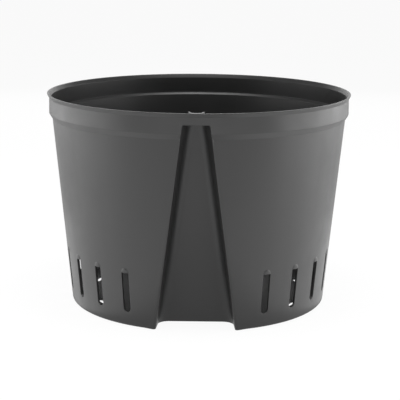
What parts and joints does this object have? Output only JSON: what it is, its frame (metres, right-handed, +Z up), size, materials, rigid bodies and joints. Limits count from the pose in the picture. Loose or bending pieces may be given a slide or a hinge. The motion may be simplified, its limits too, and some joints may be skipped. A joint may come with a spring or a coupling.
{
  "type": "hydroculture pot",
  "caption": "Round tapered culture pot for hydroculture with a flared rim, hooded wall slots and a tall recessed bay for a water gauge.",
  "frame": {"origin": "on the ground under the pot's centre", "axes": "+Z up along the pot's axis, -Y out of the gauge bay, +X to the right as the bay is seen from outside"},
  "size_m": [0.278, 0.278, 0.193],
  "materials": {
    "rim_lip": "satin moulded",
    "rim_band": "satin moulded",
    "rim_bridge": "satin moulded",
    "stacking_step": "satin moulded",
    "side_wall": "satin moulded",
    "slotted_wall": "satin moulded",
    "standing_ring": "satin moulded",
    "floor_plate": "satin moulded",
    "bay_back": "satin moulded",
    "bay_left_cheek": "satin moulded",
    "bay_right_cheek": "satin moulded",
    "bay_roof": "satin moulded",
    "gauge_guide": "satin moulded"
  },
  "bodies": {
    "root": {"rim_lip": "rim_lip", "rim_band": "rim_band", "rim_bridge": "rim_bridge", "stacking_step": "stacking_step", "side_wall": "side_wall", "slotted_wall": "slotted_wall", "standing_ring": "standing_ring", "floor_plate": "floor_plate", "bay_back": "bay_back", "bay_left_cheek": "bay_left_cheek", "bay_right_cheek": "bay_right_cheek", "bay_roof": "bay_roof", "gauge_guide": "gauge_guide"}
  },
  "joints": []
}
